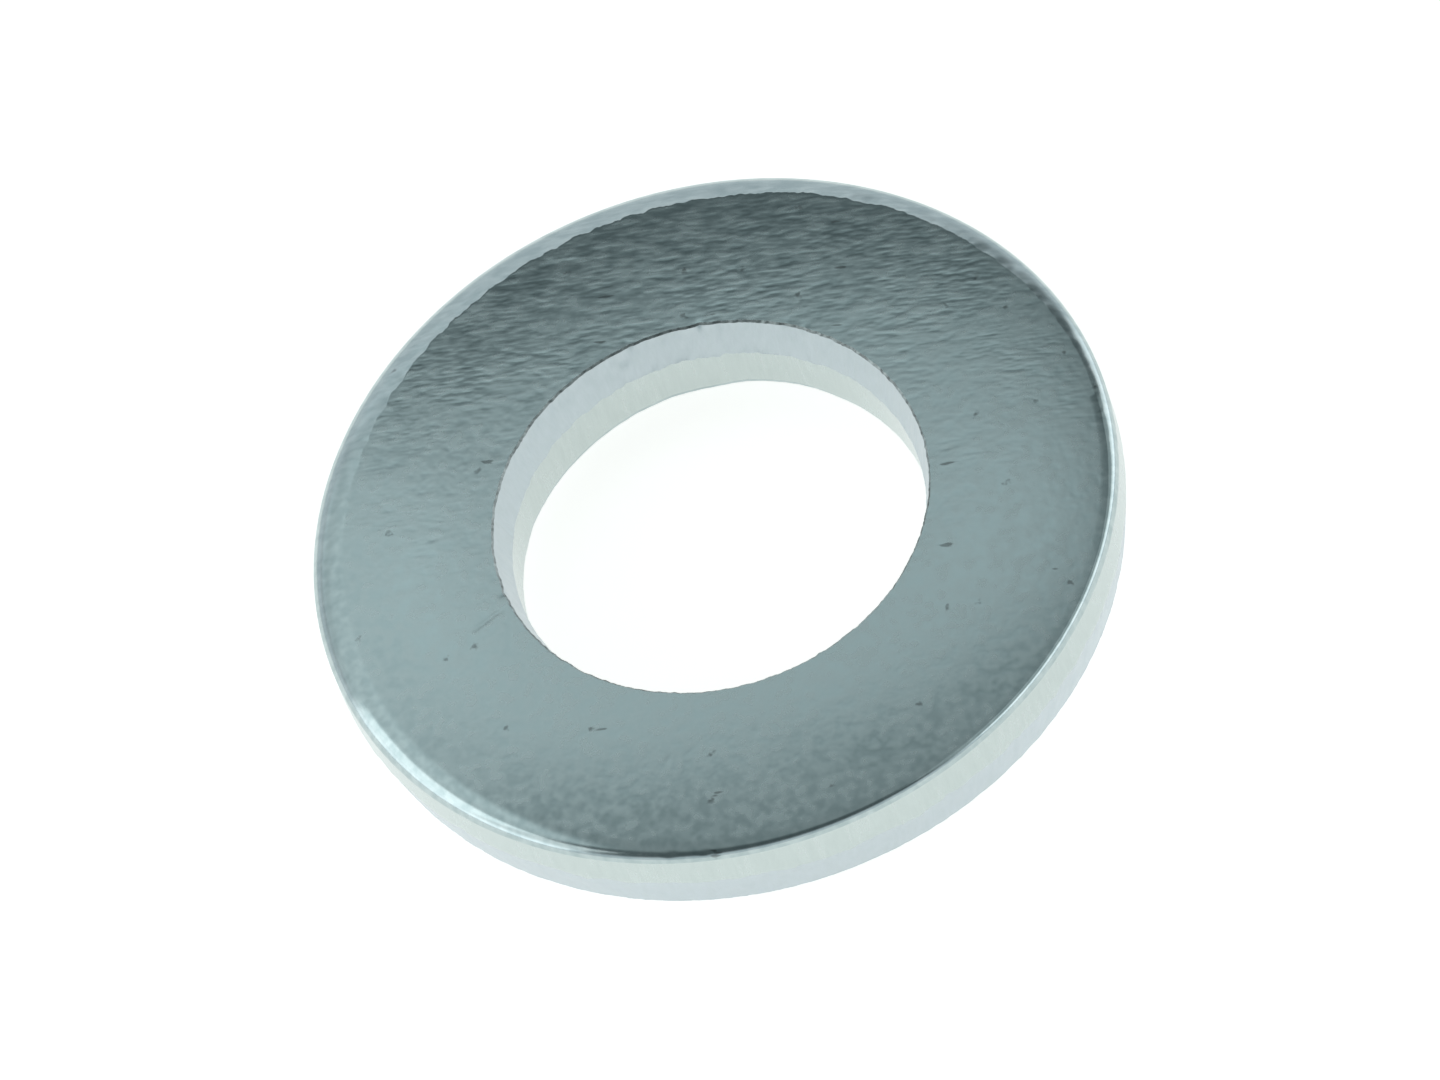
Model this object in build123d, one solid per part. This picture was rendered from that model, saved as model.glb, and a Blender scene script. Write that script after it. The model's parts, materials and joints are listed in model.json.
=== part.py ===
from build123d import *
import os

# Flat washer for an M6 bolt, pierced and blanked from steel strip in one press tool.
# Millimetres, +Z up. The origin is on the axis of the bore, in the plane of the lower face.
bore_diameter = 6.4
outer_diameter = 12.5
thickness = 1.6

# A pressed edge has three bands. The roll is where the steel was drawn down before the cut,
# the straight band is where the punch sheared it, and the break is where it tore and leans back.
# The rim has its roll at the upper face. The bore was cut the other way, so its roll is below.
rim_roll_width = 0.35
rim_roll_depth = 0.25
rim_break_height = 0.75
rim_break_lean = 0.16

bore_roll_width = 0.40
bore_roll_depth = 0.24
bore_break_height = 0.62
bore_break_lean = 0.17


def rim_edge():
    """The rim from the lower face up to the upper face: break, straight band, roll."""
    radius = outer_diameter / 2
    roll_start = thickness - rim_roll_depth
    leaning_wall = Line((radius - rim_break_lean, 0), (radius, rim_break_height))
    straight_wall = Line(leaning_wall @ 1, (radius, roll_start))
    roll_centre = (radius - rim_roll_width, roll_start)
    roll = EllipticalCenterArc(roll_centre, rim_roll_width, rim_roll_depth, 0, arc_size=90)
    return [leaning_wall, straight_wall, roll]


def bore_edge():
    """The bore from the upper face down to the lower face: break, straight band, roll."""
    radius = bore_diameter / 2
    break_end = thickness - bore_break_height
    leaning_wall = Line((radius + bore_break_lean, thickness), (radius, break_end))
    straight_wall = Line(leaning_wall @ 1, (radius, bore_roll_depth))
    roll_centre = (radius + bore_roll_width, bore_roll_depth)
    roll = EllipticalCenterArc(roll_centre, bore_roll_width, bore_roll_depth, 180, arc_size=90)
    return [leaning_wall, straight_wall, roll]


def washer_section():
    """Half of the section through the axis, standing on the XZ plane."""
    rim = rim_edge()
    bore = bore_edge()
    upper_face = Line(rim[-1] @ 1, bore[0] @ 0)
    lower_face = Line(bore[-1] @ 1, rim[0] @ 0)
    return make_face([*rim, upper_face, *bore, lower_face])


washer_ring = revolve(Plane.XZ * washer_section(), axis=Axis.Z, revolution_arc=360)

os.makedirs("parts", exist_ok=True)
export_step(washer_ring, "parts/washer_ring.step")
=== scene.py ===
import bmesh
import bpy
import json
import math
import random
from mathutils import Matrix, Vector, noise
from mathutils.kdtree import KDTree


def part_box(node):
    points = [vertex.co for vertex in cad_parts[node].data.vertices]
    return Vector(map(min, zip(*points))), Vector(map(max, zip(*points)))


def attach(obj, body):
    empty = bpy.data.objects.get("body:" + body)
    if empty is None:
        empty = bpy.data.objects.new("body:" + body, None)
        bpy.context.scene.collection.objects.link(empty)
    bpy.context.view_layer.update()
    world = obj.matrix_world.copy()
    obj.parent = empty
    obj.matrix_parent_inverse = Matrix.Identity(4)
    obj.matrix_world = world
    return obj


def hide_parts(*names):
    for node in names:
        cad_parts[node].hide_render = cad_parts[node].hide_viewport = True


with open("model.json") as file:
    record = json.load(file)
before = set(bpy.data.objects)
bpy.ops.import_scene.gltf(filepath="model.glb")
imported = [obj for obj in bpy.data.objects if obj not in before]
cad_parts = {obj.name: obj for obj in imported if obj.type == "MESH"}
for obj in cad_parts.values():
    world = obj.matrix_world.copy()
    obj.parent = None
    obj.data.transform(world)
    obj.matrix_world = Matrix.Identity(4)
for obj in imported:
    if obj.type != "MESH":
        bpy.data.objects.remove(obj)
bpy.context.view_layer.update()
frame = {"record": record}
print("frame loaded")

mm = 0.001
tiny = 0.002 * mm            # two places closer than this count as one
low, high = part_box("washer_ring")
boreMount = next(m for m in frame["record"]["mounts"] if m["name"] == "bore")

# lengths in metres, angles in degrees round the ring from +X
washer = {
    "rim": min(-low.x, high.x, -low.y, high.y),
    "bore": boreMount["dims"]["r_mm"] * mm,
    "top": high.z,
    "crown": 0.09 * mm,          # how far the upper face falls away towards the rim
    "crownPower": 2.5,
    "rollWide": 0.34 * mm,       # the rounded upper edge of the rim
    "rollDeep": 0.25 * mm,
    "rollSwing": 0.62,           # share by which its width changes round the ring
    "rollEven": 0.09,            # share taken off where it is widest and narrowest
    "rollWidest": 130,
    "rollDeepSwing": 0.5,        # share of the width's change that the depth follows
    "rollCrease": 0.80,          # how suddenly it leaves the face where it is sharpest
    "creaseSharpest": 85,
    "creaseMean": 0.3,           # the crease round the ring, as a share of its sharpest
    "creaseSwing": 0.7,
    "crispFrom": 0.3,            # no crisp line where it leaves the face more softly than this
    "glossRamp": 4,              # how soon the roll turns smooth where it starts softly
    "breakHigh": 0.75 * mm,      # torn foot of the rim
    "breakLean": 0.16 * mm,
    "boreRollWide": 0.40 * mm,
    "boreRollDeep": 0.24 * mm,
    "boreBreakHigh": 0.62 * mm,
    "boreBreakLean": 0.17 * mm,
    "sharp": 0.028 * mm,         # size of the bore's burr and of the rim's lower edge
    "crispAngle": 15,            # edges that turn by more than this stay crisp
    "spacing": 0.075 * mm,       # between the rings of the mesh
    "hiddenSpacing": 0.40 * mm,
    "rollSegments": 16,
    "boreRollSegments": 10,
    "burrSegments": 1,
    "footSegments": 2,
    "turns": 880,                # faces round the ring
    "sectors": 22,
    "weld": 0.0005 * mm,
}

relief = {
    "seed": 7,
    # how long the unevenness of each line is along the ring, and its seed
    "lines": {"roll": (0.35 * mm, 3), "rimBreak": (0.5 * mm, 21), "boreBreak": (0.5 * mm, 31),
              "boreEdge": (0.3 * mm, 41), "boreRoll": (2.2 * mm, 11)},
    # dimension, lacunarity and octaves of each noise
    "lineNoise": (0.6, 2.1, 4),
    "tornNoise": (0.7, 2.2, 4),
    "waveNoise": (0.8, 2.0, 3),
    "raggedRoll": 0.045 * mm,    # unevenness of the line where the roll starts
    "raggedBreak": 0.08,         # share by which the height of the torn bands changes
    "raggedBore": 0.016 * mm,    # unevenness of the bore's upper edge
    "raggedBoreRoll": 0.15,      # share by which the bore's lower edge changes
    "tornDepth": 0.012 * mm,
    "tornSize": 0.16 * mm,
    "tornDrag": 0.45,            # less than 1 draws the tears out along the cut
    "tornMean": 0.5,
    "tornSwing": 0.8,
    "faceWave": 0.0015 * mm,
    "faceWaveSize": 1.1 * mm,
    "boreChipPush": (1, 0, -0.2),    # outwards, round and up
    "rimChipPush": (-0.6, 0, -0.8),
    "rimChipInset": 0.1 * mm,
    "rimChipDrop": 0.15 * mm,
    "gougeSteps": 8,
    "gougeOverlap": 3,           # how many of a gouge's dents share one spot
    "pits": 14,
    "pitSize": (0.05 * mm, 0.08 * mm),
    "pitDepth": (0.003 * mm, 0.006 * mm),
    "pitMargin": 0.4 * mm,
}

# chips at the bore's upper edge and on the rim: angle, radius of the dent, depth in mm
boreChips = [(48, 0.09, 0.014), (53, 0.07, 0.011), (76, 0.10, 0.018), (95, 0.08, 0.014),
             (115, 0.07, 0.012), (183, 0.12, 0.024), (254, 0.08, 0.010)]
rimChips = [(247, 0.14, 0.008), (252, 0.12, 0.007), (22, 0.16, 0.008), (38, 0.14, 0.007),
            (312, 0.14, 0.008)]
# longer marks in the upper face: angle and radius at each end, radius of the groove, depth in mm
gouges = [((187.5, 3.58), (189, 4.03), 0.060, 0.012), ((100.5, 5.50), (96, 5.25), 0.11, 0.014)]


def roundCorner(bm, corner, wide, deep, segments):
    level = corner.co.z
    made = bmesh.ops.bevel(bm, geom=[corner], offset=wide, offset_type="OFFSET", segments=segments,
                           profile=0.5, affect="VERTICES", material=-1)
    # the bevel is round, so it is pressed to the wanted depth
    for vert in made["verts"]:
        vert.co.z = level + (vert.co.z - level) * deep / wide


def drawSection(bm):
    rim, bore, top = washer["rim"], washer["bore"], washer["top"]
    corners = [
        (bore + washer["boreBreakLean"], top),
        (rim, top),
        (rim, washer["breakHigh"]),
        (rim - washer["breakLean"], 0),
        (bore, 0),
        (bore, top - washer["boreBreakHigh"]),
    ]
    verts = [bm.verts.new((x, 0, z)) for x, z in corners]
    for a, b in zip(verts, verts[1:] + verts[:1]):
        bm.edges.new((a, b))
    roundCorner(bm, verts[1], washer["rollWide"], washer["rollDeep"], washer["rollSegments"])
    roundCorner(bm, verts[4], washer["boreRollWide"], washer["boreRollDeep"], washer["boreRollSegments"])
    roundCorner(bm, verts[0], washer["sharp"], washer["sharp"], washer["burrSegments"])
    roundCorner(bm, verts[3], washer["sharp"], washer["sharp"], washer["footSegments"])
    for edge in list(bm.edges):
        hidden = max(vert.co.z for vert in edge.verts) < washer["sharp"]
        spacing = washer["hiddenSpacing"] if hidden else washer["spacing"]
        cuts = int(edge.calc_length() / spacing)
        if cuts:
            bmesh.ops.subdivide_edges(bm, edges=[edge], cuts=cuts)


def spinRing(bm):
    # one sector is spun from the section, and the others are copies of it
    sector = math.tau / washer["sectors"]
    bmesh.ops.spin(bm, geom=bm.verts[:] + bm.edges[:], cent=(0, 0, 0), axis=(0, 0, 1),
                   angle=sector, steps=washer["turns"] // washer["sectors"])
    bmesh.ops.spin(bm, geom=bm.verts[:] + bm.edges[:] + bm.faces[:], cent=(0, 0, 0), axis=(0, 0, 1),
                   angle=math.tau - sector, steps=washer["sectors"] - 1, use_duplicate=True)
    bmesh.ops.remove_doubles(bm, verts=bm.verts, dist=washer["weld"])
    bmesh.ops.recalc_face_normals(bm, faces=bm.faces)


# which finish each band has
finishes = ["plate", "sheared", "torn", "burr"]


def isOuter(radius):
    return radius > (washer["rim"] + washer["bore"]) / 2


def bandOf(radius, height):
    top = washer["top"]
    if height < tiny or height > top - tiny:
        return "plate"
    if isOuter(radius):
        if height > top - washer["rollDeep"]:
            return "plate"
        return "sheared" if height > washer["breakHigh"] else "torn"
    if height > top - washer["sharp"]:
        return "burr"
    if height > top - washer["boreBreakHigh"]:
        return "torn"
    return "sheared" if height > washer["boreRollDeep"] else "plate"


def markBands(bm):
    for face in bm.faces:
        centre = face.calc_center_median()
        face.material_index = finishes.index(bandOf(math.hypot(centre.x, centre.y), centre.z))
        face.smooth = True


def creaseShare(angle):
    # the roll leaves the face sharply on one side of the ring and softly on the other
    turned = angle - math.radians(washer["creaseSharpest"])
    return max(0.0, washer["creaseMean"] + washer["creaseSwing"] * math.cos(turned))


def keepCrisp(bm):
    # the tight edges and the line where the roll leaves the face aren't smoothed over
    rollStart = washer["rim"] - washer["rollWide"]
    for edge in bm.edges:
        radii = [vert.co.to_2d().length for vert in edge.verts]
        heights = [vert.co.z for vert in edge.verts]
        if abs(radii[0] - radii[1]) > tiny or abs(heights[0] - heights[1]) > tiny:
            continue
        onCrease = abs(radii[0] - rollStart) < tiny and heights[0] > washer["top"] - tiny
        angle = math.atan2(edge.verts[0].co.y, edge.verts[0].co.x)
        atRoll = onCrease and creaseShare(angle) > washer["crispFrom"]
        edge.smooth = not (atRoll or edge.calc_face_angle(0.0) > math.radians(washer["crispAngle"]))


def stretch(distance, width, factor):
    # what lies within width grows by factor, and the change fades out over the next width
    if distance < width:
        return distance * factor
    fade = max(0.0, 2 - distance / width)
    return distance + width * (factor - 1) * fade


def nearness(distance):
    # from 1 on a line of the mesh to 0 two rings away
    return max(0.0, 1 - distance / (2 * washer["spacing"]))


def raggedness(angle, line):
    # uneven round the ring, and it closes on itself
    size, seed = relief["lines"][line]
    along = washer["rim"] / size
    place = Vector((math.cos(angle) * along, math.sin(angle) * along, seed))
    return noise.fractal(place, *relief["lineNoise"])


def rollRim(angle, radius, z):
    # the rounded edge is wide on one side of the ring and narrow on the other
    rim, top, wide, deep = (washer[key] for key in ("rim", "top", "rollWide", "rollDeep"))
    turned = angle - math.radians(washer["rollWidest"])
    swing = 1 + washer["rollSwing"] * math.cos(turned) - washer["rollEven"] * math.cos(2 * turned)
    inset, drop = rim - radius, top - z
    share = min(1.0, inset / wide)
    crease = washer["rollCrease"] * creaseShare(angle) * deep * share * (1 - share)
    ragged = relief["raggedRoll"] * raggedness(angle, "roll") * creaseShare(angle)
    inset = stretch(inset, wide, swing) + ragged * nearness(abs(inset - wide))
    deepSwing = washer["rollDeepSwing"]
    drop = stretch(drop, deep, 1 - deepSwing + deepSwing * swing)
    return rim - inset, top - drop - crease


def crownFace(radius, z):
    rim, bore, top = washer["rim"], washer["bore"], washer["top"]
    outward = (radius - bore) / (rim - bore)
    upward = max(0.0, 2 * z / top - 1)
    return z - washer["crown"] * upward * max(0.0, outward) ** washer["crownPower"]


def pressEdges(bm):
    rim, bore, top = washer["rim"], washer["bore"], washer["top"]
    rolled = bm.verts.layers.float.new("rolled")
    for vert in bm.verts:
        angle = math.atan2(vert.co.y, vert.co.x)
        radius, z = math.hypot(vert.co.x, vert.co.y), vert.co.z
        outer = isOuter(radius)
        if outer and z > top / 2:
            share = (rim - radius) / washer["rollWide"]
            if share < 1 + tiny / washer["rollWide"]:
                vert[rolled] = min(1.0, washer["glossRamp"] * (1 - share) + creaseShare(angle))
            radius, z = rollRim(angle, radius, z)
        elif outer and z > 0:
            uneven = 1 + relief["raggedBreak"] * raggedness(angle, "rimBreak")
            z = stretch(z, washer["breakHigh"], uneven)
        elif not outer and z > top / 2:
            uneven = 1 + relief["raggedBreak"] * raggedness(angle, "boreBreak")
            fromEdge = max(top - z, radius - bore - washer["boreBreakLean"])
            z = top - stretch(top - z, washer["boreBreakHigh"], uneven)
            radius += relief["raggedBore"] * raggedness(angle, "boreEdge") * nearness(fromEdge)
        elif not outer:
            vert[rolled] = float(radius < bore + washer["boreRollWide"])
            swing = 1 + relief["raggedBoreRoll"] * raggedness(angle, "boreRoll")
            radius = bore + stretch(radius - bore, washer["boreRollWide"], swing)
            z = stretch(z, washer["boreRollDeep"], swing)
        z = crownFace(radius, z)
        vert.co = (radius * math.cos(angle), radius * math.sin(angle), z)


def tearWalls(bm):
    # the torn bands are coarse and dragged along the cut
    torn = finishes.index("torn")
    for vert in bm.verts:
        faces = vert.link_faces
        share = sum(face.material_index == torn for face in faces) / len(faces)
        if not share:
            continue
        spot = vert.co / relief["tornSize"]
        spot.z *= relief["tornDrag"]
        depth = relief["tornMean"] + relief["tornSwing"] * noise.fractal(spot, *relief["tornNoise"])
        outward = Vector((vert.co.x, vert.co.y, 0)).normalized()
        intoSteel = -1 if isOuter(vert.co.to_2d().length) else 1
        vert.co += outward * share * max(0.0, depth) * relief["tornDepth"] * intoSteel


def wavePlate(bm):
    # the strip isn't perfectly flat, and nothing rises above the CAD face
    for vert in bm.verts:
        if vert.co.z > washer["top"] / 2:
            wave = noise.fractal(vert.co / relief["faceWaveSize"], *relief["waveNoise"])
            vert.co.z = min(vert.co.z, washer["top"]) - relief["faceWave"] * max(0.0, 1 + wave)


def dent(bm, tree, centre, size, depth, direction):
    for _, index, distance in tree.find_range(centre, size):
        fall = (1 - (distance / size) ** 2) ** 2
        bm.verts[index].co += direction * depth * fall


def markRing(bm):
    random.seed(relief["seed"])
    tree = KDTree(len(bm.verts))
    for index, vert in enumerate(bm.verts):
        tree.insert(vert.co, index)
    tree.balance()
    bm.verts.ensure_lookup_table()
    top = washer["top"]
    for angle, size, depth in boreChips:
        turn = Matrix.Rotation(math.radians(angle), 3, "Z")
        centre = turn @ Vector((washer["bore"] + washer["boreBreakLean"], 0, top))
        dent(bm, tree, centre, size * mm, depth * mm, turn @ Vector(relief["boreChipPush"]))
    for angle, size, depth in rimChips:
        turn = Matrix.Rotation(math.radians(angle), 3, "Z")
        centre = turn @ Vector((washer["rim"] - relief["rimChipInset"], 0, top - relief["rimChipDrop"]))
        dent(bm, tree, centre, size * mm, depth * mm, turn @ Vector(relief["rimChipPush"]))
    for start, end, size, depth in gouges:
        for step in range(relief["gougeSteps"] + 1):
            angle, radius = (a + (b - a) * step / relief["gougeSteps"] for a, b in zip(start, end))
            centre = Matrix.Rotation(math.radians(angle), 3, "Z") @ Vector((radius * mm, 0, top))
            dent(bm, tree, centre, size * mm, depth * mm / relief["gougeOverlap"], Vector((0, 0, -1)))
    for _ in range(relief["pits"]):
        turn = Matrix.Rotation(random.uniform(0, math.tau), 3, "Z")
        radius = random.uniform(washer["bore"] + relief["pitMargin"], washer["rim"] - washer["rollWide"])
        centre = turn @ Vector((radius, 0, top))
        size = random.uniform(*relief["pitSize"])
        dent(bm, tree, centre, size, random.uniform(*relief["pitDepth"]), Vector((0, 0, -1)))


def makeWasher():
    bm = bmesh.new()
    drawSection(bm)
    spinRing(bm)
    markBands(bm)
    keepCrisp(bm)
    pressEdges(bm)
    tearWalls(bm)
    wavePlate(bm)
    markRing(bm)
    bmesh.ops.recalc_face_normals(bm, faces=bm.faces)
    data = bpy.data.meshes.new("washerRing")
    bm.to_mesh(data)
    bm.free()
    piece = bpy.data.objects.new("washerRing", data)
    bpy.context.scene.collection.objects.link(piece)
    return piece


def newNode(tree, kind, inputs=None, **settings):
    node = tree.nodes.new("ShaderNode" + kind)
    for name, value in settings.items():
        setattr(node, name, value)
    for name, value in (inputs or {}).items():
        node.inputs[name].default_value = value
    return node


def newGroup(name, inputs, outputs):
    tree = bpy.data.node_groups.new(name, "ShaderNodeTree")
    for label, kind, value in inputs:
        socket = tree.interface.new_socket(label, in_out="INPUT", socket_type=kind)
        if value is not None:
            socket.default_value = value
    for label, kind in outputs:
        tree.interface.new_socket(label, in_out="OUTPUT", socket_type=kind)
    return tree, tree.nodes.new("NodeGroupInput"), tree.nodes.new("NodeGroupOutput")


def placeGroup(tree, group, **values):
    node = tree.nodes.new("ShaderNodeGroup")
    node.node_tree = group
    for name, value in values.items():
        node.inputs[name].default_value = value
    return node


numberSocket = "NodeSocketFloat"
vectorSocket = "NodeSocketVector"
noiseMiddle = 0.5            # the mean of a noise texture


def combine(tree, operation, a, b):
    node = newNode(tree, "Math", operation=operation)
    for socket, value in zip(node.inputs, (a, b)):
        if isinstance(value, (int, float)):
            socket.default_value = value
        else:
            tree.links.new(value, socket)
    return node.outputs[0]


def plateSpace():
    # millimetres, turned so that X runs along the rolled strip
    tree, source, sink = newGroup(
        "plateSpace", [("Strip Angle", numberSocket, 0.0)], [("Vector", vectorSocket)])
    place = newNode(tree, "TexCoord")
    turned = newNode(tree, "VectorRotate", rotation_type="Z_AXIS")
    sized = newNode(tree, "VectorMath", operation="SCALE")
    sized.inputs["Scale"].default_value = 1 / mm
    tree.links.new(place.outputs["Object"], turned.inputs["Vector"])
    tree.links.new(source.outputs["Strip Angle"], turned.inputs["Angle"])
    tree.links.new(turned.outputs[0], sized.inputs[0])
    tree.links.new(sized.outputs[0], sink.inputs["Vector"])
    return tree


def rolledGrain():
    # flakes of the pickled steel under the zinc, which towards +Y turn into streaks along the strip
    tree, source, sink = newGroup(
        "rolledGrain",
        [("Vector", vectorSocket, None), ("Streak Length", numberSocket, 0.38),
         ("Streak Scale", numberSocket, 8.0), ("Flake Scale", numberSocket, 6.0),
         ("Patch Scale", numberSocket, 1.2), ("Streaks Start", numberSocket, -1.5),
         ("Streaks Full", numberSocket, 4.5), ("Wander", numberSocket, 12.0),
         ("Flake Height", numberSocket, 0.33)],
        [("Height", numberSocket), ("Flakes", numberSocket)])
    squeeze = newNode(tree, "CombineXYZ", {"Y": 1.0, "Z": 1.0})
    stretched = newNode(tree, "VectorMath", operation="MULTIPLY")
    streaks = newNode(tree, "TexNoise", {"Detail": 1.0, "Roughness": 0.6})
    flakes = newNode(tree, "TexNoise", {"Detail": 1.0, "Roughness": 0.5})
    patches = newNode(tree, "TexNoise", {"Detail": 2.0})
    across = newNode(tree, "SeparateXYZ")
    share = newNode(tree, "MapRange")
    mixed = newNode(tree, "Mix", data_type="FLOAT")
    spread = newNode(tree, "MapRange", {"From Min": 0.34, "From Max": 0.66})
    strength = newNode(tree, "MapRange", {"To Max": 1.0})
    link = tree.links.new
    link(source.outputs["Streak Length"], squeeze.inputs["X"])
    link(source.outputs["Vector"], stretched.inputs[0])
    link(squeeze.outputs[0], stretched.inputs[1])
    link(stretched.outputs[0], streaks.inputs["Vector"])
    link(source.outputs["Vector"], flakes.inputs["Vector"])
    link(source.outputs["Vector"], patches.inputs["Vector"])
    for texture, scale in ((streaks, "Streak Scale"), (flakes, "Flake Scale"), (patches, "Patch Scale")):
        link(source.outputs[scale], texture.inputs["Scale"])
    link(source.outputs["Vector"], across.inputs[0])
    # the change from flakes to streaks wanders with the patches
    patched = combine(tree, "SUBTRACT", patches.outputs["Fac"], noiseMiddle)
    wander = combine(tree, "MULTIPLY", patched, source.outputs["Wander"])
    link(combine(tree, "ADD", across.outputs["Y"], wander), share.inputs["Value"])
    link(source.outputs["Streaks Start"], share.inputs["From Min"])
    link(source.outputs["Streaks Full"], share.inputs["From Max"])
    link(share.outputs["Result"], mixed.inputs["Factor"])
    link(flakes.outputs["Fac"], mixed.inputs["A"])
    link(streaks.outputs["Fac"], mixed.inputs["B"])
    link(mixed.outputs["Result"], spread.inputs["Value"])
    link(share.outputs["Result"], strength.inputs["Value"])
    link(source.outputs["Flake Height"], strength.inputs["To Min"])
    raised = combine(tree, "SUBTRACT", mixed.outputs["Result"], noiseMiddle)
    link(combine(tree, "MULTIPLY", raised, strength.outputs["Result"]), sink.inputs["Height"])
    link(spread.outputs["Result"], sink.inputs["Flakes"])
    return tree


def zincCloud():
    # broad clouding of the passivated zinc
    tree, source, sink = newGroup(
        "zincCloud", [("Vector", vectorSocket, None), ("Cloud Scale", numberSocket, 0.7)],
        [("Cloud", numberSocket)])
    cloud = newNode(tree, "TexNoise", {"Detail": 3.0, "Roughness": 0.5})
    spread = newNode(tree, "MapRange", {"From Min": 0.3, "From Max": 0.7})
    link = tree.links.new
    link(source.outputs["Vector"], cloud.inputs["Vector"])
    link(source.outputs["Cloud Scale"], cloud.inputs["Scale"])
    link(cloud.outputs["Fac"], spread.inputs["Value"])
    link(spread.outputs["Result"], sink.inputs["Cloud"])
    return tree


def plateMarks():
    # a few small marks in otherwise clean plate: specks, or scratches when drawn out along X
    tree, source, sink = newGroup(
        "plateMarks",
        [("Vector", vectorSocket, None), ("Mark Length", numberSocket, 1.0),
         ("Mark Scale", numberSocket, 2.2), ("Mark Size", numberSocket, 0.12),
         ("Mark Share", numberSocket, 0.08), ("Outline Swing", numberSocket, 0.4)],
        [("Marks", numberSocket)])
    squeeze = newNode(tree, "CombineXYZ", {"Y": 1.0, "Z": 1.0})
    stretched = newNode(tree, "VectorMath", operation="MULTIPLY")
    cells = newNode(tree, "TexVoronoi", feature="F1", voronoi_dimensions="2D")
    outline = newNode(tree, "TexNoise", {"Scale": 14.0, "Detail": 1.0})
    drawn = newNode(tree, "MapRange", {"From Min": 0.0, "To Min": 1.0, "To Max": 0.0})
    lottery = newNode(tree, "SeparateXYZ")
    link = tree.links.new
    link(source.outputs["Mark Length"], squeeze.inputs["X"])
    link(source.outputs["Vector"], stretched.inputs[0])
    link(squeeze.outputs[0], stretched.inputs[1])
    link(stretched.outputs[0], cells.inputs["Vector"])
    link(source.outputs["Mark Scale"], cells.inputs["Scale"])
    link(stretched.outputs[0], outline.inputs["Vector"])
    ragged = combine(tree, "SUBTRACT", outline.outputs["Fac"], noiseMiddle)
    uneven = combine(tree, "MULTIPLY", ragged, source.outputs["Outline Swing"])
    link(combine(tree, "ADD", cells.outputs["Distance"], uneven), drawn.inputs["Value"])
    link(source.outputs["Mark Size"], drawn.inputs["From Max"])
    link(cells.outputs["Color"], lottery.inputs[0])
    chosen = combine(tree, "LESS_THAN", lottery.outputs["X"], source.outputs["Mark Share"])
    link(combine(tree, "MULTIPLY", drawn.outputs["Result"], chosen), sink.inputs["Marks"])
    return tree


def drawLines():
    # lines that the punch and die drag down a cut wall
    tree, source, sink = newGroup(
        "drawLines",
        [("Vector", vectorSocket, None), ("Line Scale", numberSocket, 12.0),
         ("Line Length", numberSocket, 0.12)],
        [("Height", numberSocket)])
    squeeze = newNode(tree, "CombineXYZ", {"X": 1.0, "Y": 1.0})
    stretched = newNode(tree, "VectorMath", operation="MULTIPLY")
    lines = newNode(tree, "TexNoise", {"Detail": 4.0, "Roughness": 0.6})
    spread = newNode(tree, "MapRange", {"From Min": 0.34, "From Max": 0.66})
    link = tree.links.new
    link(source.outputs["Line Length"], squeeze.inputs["Z"])
    link(source.outputs["Vector"], stretched.inputs[0])
    link(squeeze.outputs[0], stretched.inputs[1])
    link(stretched.outputs[0], lines.inputs["Vector"])
    link(source.outputs["Line Scale"], lines.inputs["Scale"])
    link(lines.outputs["Fac"], spread.inputs["Value"])
    link(spread.outputs["Result"], sink.inputs["Height"])
    return tree


# linear colours of each finish at its darkest and its lightest, the range of its roughness,
# and the height of its relief in mm
finish = {
    "stripAngle": 17,            # degrees from X to the strip
    "cloudShare": 0.3,
    "markDark": 0.6,
    "markColour": (0.10, 0.11, 0.11, 1),
    "scratches": {"Mark Length": 0.3, "Mark Scale": 1.9, "Mark Size": 0.04, "Mark Share": 0.15},
    "rollRough": 0.18,
    "rollGrain": 0.12,           # share of the grain left where the edge was drawn smooth
    "plate": {"shade": (0.395, 0.48, 0.49), "tint": (0.52, 0.60, 0.605),
              "rough": (0.18, 0.30), "bump": 0.0058},
    "sheared": {"shade": (0.53, 0.60, 0.59), "tint": (0.585, 0.655, 0.645),
                "rough": (0.20, 0.30), "bump": 0.0006},
    "torn": {"shade": (0.515, 0.585, 0.61), "tint": (0.575, 0.64, 0.675),
             "rough": (0.28, 0.40), "bump": 0.0012},
    # the burr band's colour runs from nearly black to mid grey along the ring, which draws a broken dark
    # line round the bore's upper edge
    "burr": {"shade": (0.10, 0.11, 0.11), "tint": (0.50, 0.56, 0.56),
             "rough": (0.35, 0.50), "bump": 0.0012},
}


def startPlate(name, groups):
    # what all the finishes share: the metal, its clouding, and the tone that colour and roughness follow
    look = finish[name]
    material = bpy.data.materials.new("zinc" + name.title())
    material.use_nodes = True
    tree = material.node_tree
    tree.nodes["Principled BSDF"].inputs["Metallic"].default_value = 1.0
    space = placeGroup(tree, groups["space"], **{"Strip Angle": math.radians(finish["stripAngle"])})
    cloud = placeGroup(tree, groups["cloud"])
    tree.links.new(space.outputs["Vector"], cloud.inputs["Vector"])
    colour = newNode(tree, "Mix", data_type="RGBA")
    colour.inputs["A"].default_value = (*look["shade"], 1)
    colour.inputs["B"].default_value = (*look["tint"], 1)
    rough = newNode(tree, "MapRange", {"To Min": look["rough"][0], "To Max": look["rough"][1]})
    tone = newNode(tree, "Mix", {"Factor": finish["cloudShare"]}, data_type="FLOAT")
    tree.links.new(cloud.outputs["Cloud"], tone.inputs["B"])
    tree.links.new(tone.outputs["Result"], colour.inputs["Factor"])
    tree.links.new(tone.outputs["Result"], rough.inputs["Value"])
    return material, tree, space, tone, colour, rough


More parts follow.
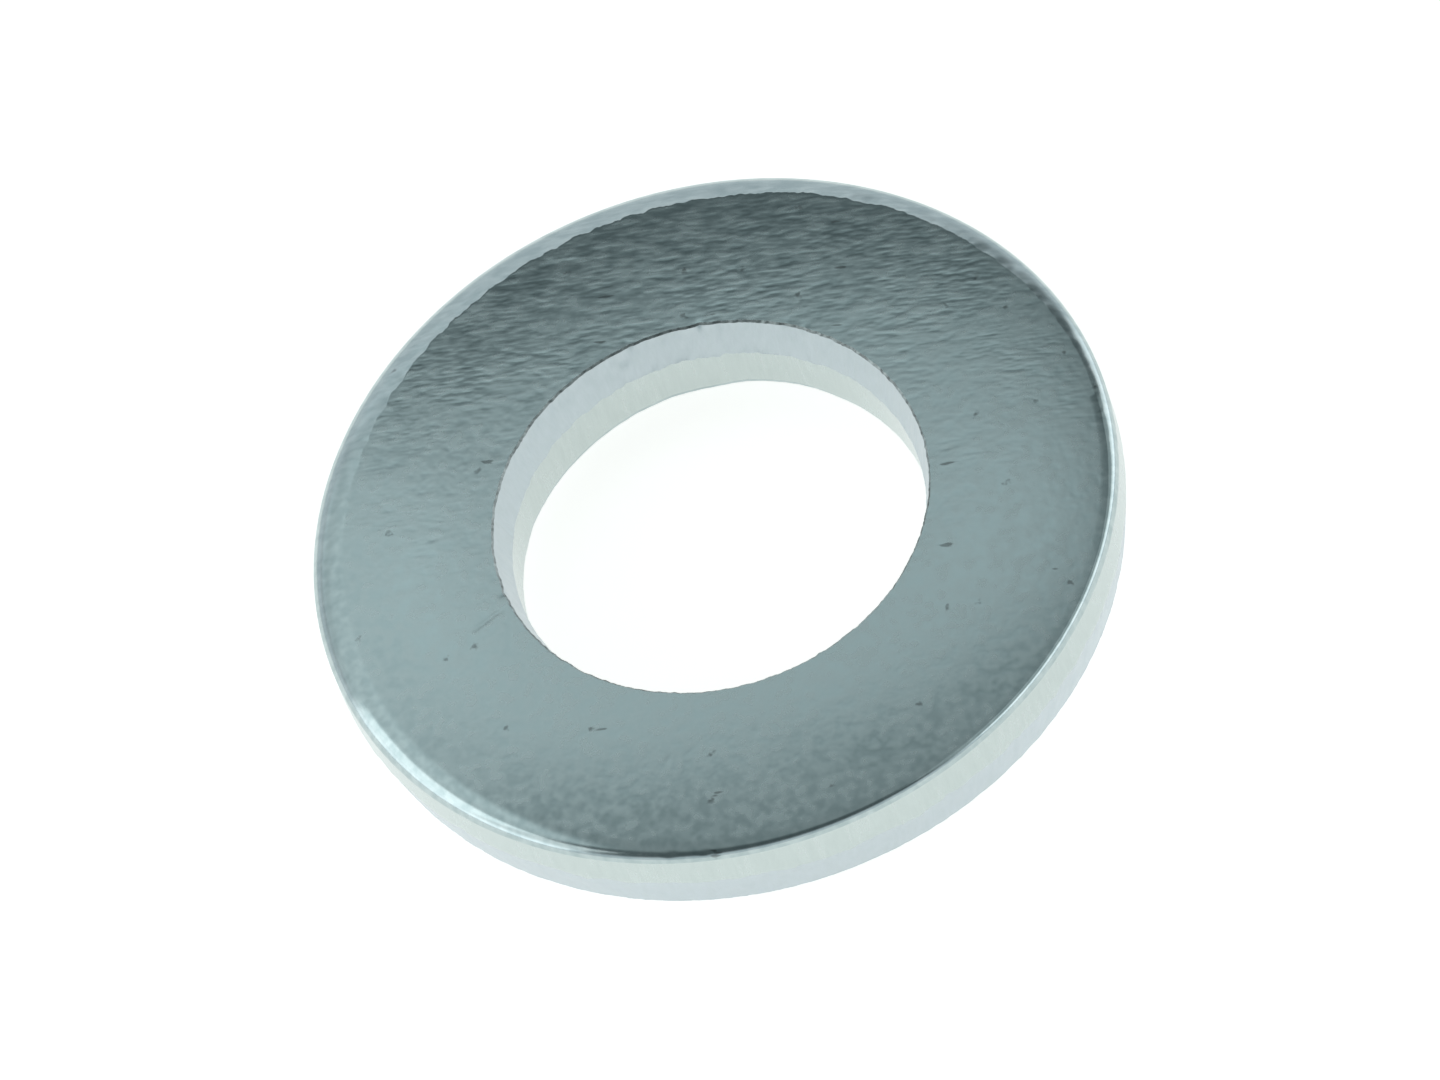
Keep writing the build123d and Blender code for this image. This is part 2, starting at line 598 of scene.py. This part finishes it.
def raiseRelief(tree, height, name):
    bump = newNode(tree, "Bump", {"Strength": 1.0, "Distance": finish[name]["bump"] * mm})
    tree.links.new(height, bump.inputs["Height"])
    tree.links.new(bump.outputs["Normal"], tree.nodes["Principled BSDF"].inputs["Normal"])


def plateFinish(groups):
    material, tree, space, tone, colour, rough = startPlate("plate", groups)
    link = tree.links.new
    shader = tree.nodes["Principled BSDF"]
    grain = placeGroup(tree, groups["grain"])
    specks = placeGroup(tree, groups["marks"])
    scratches = placeGroup(tree, groups["marks"], **finish["scratches"])
    for group in (grain, specks, scratches):
        link(space.outputs["Vector"], group.inputs["Vector"])
    rolled = newNode(tree, "Attribute", attribute_name="rolled")
    link(grain.outputs["Flakes"], tone.inputs["A"])
    marks = combine(tree, "MAXIMUM", specks.outputs["Marks"], scratches.outputs["Marks"])
    marked = newNode(tree, "Mix", data_type="RGBA")
    marked.inputs["B"].default_value = finish["markColour"]
    link(combine(tree, "MULTIPLY", marks, finish["markDark"]), marked.inputs["Factor"])
    link(colour.outputs["Result"], marked.inputs["A"])
    link(marked.outputs["Result"], shader.inputs["Base Color"])
    smoothed = newNode(tree, "Mix", {"B": finish["rollRough"]}, data_type="FLOAT")
    link(rolled.outputs["Fac"], smoothed.inputs["Factor"])
    link(rough.outputs["Result"], smoothed.inputs["A"])
    link(smoothed.outputs["Result"], shader.inputs["Roughness"])
    left = newNode(tree, "MapRange", {"To Min": 1.0, "To Max": finish["rollGrain"]})
    link(rolled.outputs["Fac"], left.inputs["Value"])
    raiseRelief(tree, combine(tree, "MULTIPLY", grain.outputs["Height"], left.outputs["Result"]), "plate")
    return material


def wallFinish(name, groups):
    material, tree, space, tone, colour, rough = startPlate(name, groups)
    link = tree.links.new
    shader = tree.nodes["Principled BSDF"]
    lines = placeGroup(tree, groups["lines"])
    link(space.outputs["Vector"], lines.inputs["Vector"])
    link(lines.outputs["Height"], tone.inputs["A"])
    link(colour.outputs["Result"], shader.inputs["Base Color"])
    link(rough.outputs["Result"], shader.inputs["Roughness"])
    raiseRelief(tree, lines.outputs["Height"], name)
    return material


# the sky is angle above the horizon, brightness and colour, from the horizon up to overhead
studio = {
    "floorDrop": 0.01 * mm,      # keeps the floor clear of the lower face
    "floorHalf": 3.0,
    "floorBase": 0.65,
    "floorRough": 0.9,
    "floorGlow": 0.76,
    "floorTint": (1.0, 1.0, 0.97),
    "sky": [(0, 0.78, (0.93, 1.0, 1.04)), (14, 0.78, (0.93, 1.0, 1.04)),
            (26, 0.12, (0.80, 1.0, 1.04)), (48, 0.12, (0.80, 1.0, 1.04)),
            (60, 0.35, (0.86, 1.0, 1.02)), (90, 0.35, (0.86, 1.0, 1.02))],
    "boxAway": 40,               # mm from the washer to each soft box
}

# direction the light comes from (degrees round from +X, degrees up), width and height in mm,
# brightness and colour of the box's face
softBoxes = {
    "backBox": {"round": 87, "up": 58, "size": (18, 9), "glow": 0.58, "tint": (0.89, 1.0, 1.01)},
    "leftBox": {"round": 153, "up": 43, "size": (52, 32), "glow": 0.54, "tint": (0.89, 1.0, 1.01)},
    "shoulderBox": {"round": 136, "up": 43, "size": (32, 16), "glow": 0.15, "tint": (0.93, 1.0, 1.01)},
    "sideBox": {"round": 185, "up": 23, "size": (42, 26), "glow": 1.02, "tint": (0.97, 1.0, 1.0)},
    "cornerBox": {"round": 104, "up": 24, "size": (18, 10), "glow": 0.42, "tint": (0.90, 1.0, 1.03)},
    "rightBox": {"round": 345, "up": 37, "size": (70, 33), "glow": 0.36, "tint": (0.90, 1.0, 1.0)},
    "rimBox": {"round": 355, "up": 20, "size": (80, 17), "glow": 0.85, "tint": (1.0, 1.0, 1.0)},
}

shot = {
    "round": -90,                # degrees round from +X
    "up": 53.72,                 # degrees above the floor
    "roll": -20.64,
    "away": 0.2417,              # metres
    "lens": 398.6,
    "aimRight": -0.020 * mm,     # what the camera looks at, from the middle of the washer
    "aimUp": -0.084 * mm,
    "nearest": 0.01,
    "farthest": 20,
}


def makeFloor():
    bm = bmesh.new()
    bmesh.ops.create_grid(bm, x_segments=1, y_segments=1, size=studio["floorHalf"],
                          matrix=Matrix.Translation((0, 0, -studio["floorDrop"])))
    data = bpy.data.meshes.new("studioFloor")
    bm.to_mesh(data)
    bm.free()
    floor = bpy.data.objects.new("studioFloor", data)
    bpy.context.scene.collection.objects.link(floor)
    material = bpy.data.materials.new("paleFloor")
    material.use_nodes = True
    shader = material.node_tree.nodes["Principled BSDF"]
    shader.inputs["Base Color"].default_value = (*[studio["floorBase"]] * 3, 1)
    shader.inputs["Roughness"].default_value = studio["floorRough"]
    shader.inputs["Specular IOR Level"].default_value = 0.0
    shader.inputs["Emission Color"].default_value = (*studio["floorTint"], 1)
    shader.inputs["Emission Strength"].default_value = studio["floorGlow"]
    data.materials.append(material)


def makeSky():
    world = bpy.data.worlds.new("studioSky")
    bpy.context.scene.world = world
    world.use_nodes = True
    tree = world.node_tree
    place = newNode(tree, "TexCoord")
    split = newNode(tree, "SeparateXYZ")
    ramp = newNode(tree, "ValToRGB")
    elements = ramp.color_ramp.elements
    while len(elements) < len(studio["sky"]):
        elements.new(0.5)
    for element, (up, glow, tint) in zip(elements, studio["sky"]):
        element.position = math.sin(math.radians(up))
        element.color = (*(glow * part for part in tint), 1)
    tree.links.new(place.outputs["Generated"], split.inputs[0])
    tree.links.new(split.outputs["Z"], ramp.inputs[0])
    tree.links.new(ramp.outputs["Color"], tree.nodes["Background"].inputs["Color"])


def fromAngles(around, up):
    around, up = math.radians(around), math.radians(up)
    return Vector((math.cos(around) * math.cos(up), math.sin(around) * math.cos(up), math.sin(up)))


def hangSoftBox(name, box):
    width, height = (side * mm for side in box["size"])
    light = bpy.data.lights.new(name, "AREA")
    light.shape = "RECTANGLE"
    light.size = width
    light.size_y = height
    # the power that gives a face of that brightness
    light.energy = box["glow"] * math.pi * width * height
    light.color = box["tint"]
    lamp = bpy.data.objects.new(name, light)
    bpy.context.scene.collection.objects.link(lamp)
    toLight = fromAngles(box["round"], box["up"])
    lamp.location = toLight * studio["boxAway"] * mm
    lamp.rotation_euler = toLight.to_track_quat("Z", "Y").to_euler()
    lamp.visible_camera = False


def placeCamera():
    back = fromAngles(shot["round"], shot["up"])
    right = Vector((1, 0, 0))
    up = back.cross(right)
    roll = math.radians(shot["roll"])
    pictureRight = right * math.cos(roll) + up * math.sin(roll)
    pictureUp = up * math.cos(roll) - right * math.sin(roll)
    aim = Vector((0, 0, washer["top"] / 2)) + pictureRight * shot["aimRight"] + pictureUp * shot["aimUp"]
    data = bpy.data.cameras.new("camera")
    data.lens = shot["lens"]
    data.clip_start = shot["nearest"]
    data.clip_end = shot["farthest"]
    camera = bpy.data.objects.new("camera", data)
    bpy.context.scene.collection.objects.link(camera)
    camera.matrix_world = Matrix.Translation(aim + back * shot["away"]) @ Matrix(
        (pictureRight, pictureUp, back)).transposed().to_4x4()
    bpy.context.scene.camera = camera


washerRing = makeWasher()
print("washer shaped:", len(washerRing.data.polygons), "faces")

groups = {
    "space": plateSpace(),
    "grain": rolledGrain(),
    "cloud": zincCloud(),
    "marks": plateMarks(),
    "lines": drawLines(),
}
washerRing.data.materials.append(plateFinish(groups))
for name in finishes[1:]:
    washerRing.data.materials.append(wallFinish(name, groups))
print("zinc plate finished")

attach(washerRing, "root")
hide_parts("washer_ring")

makeFloor()
makeSky()
for name, box in softBoxes.items():
    hangSoftBox(name, box)
placeCamera()
bpy.context.scene.view_settings.view_transform = "Standard"
print("studio lit")
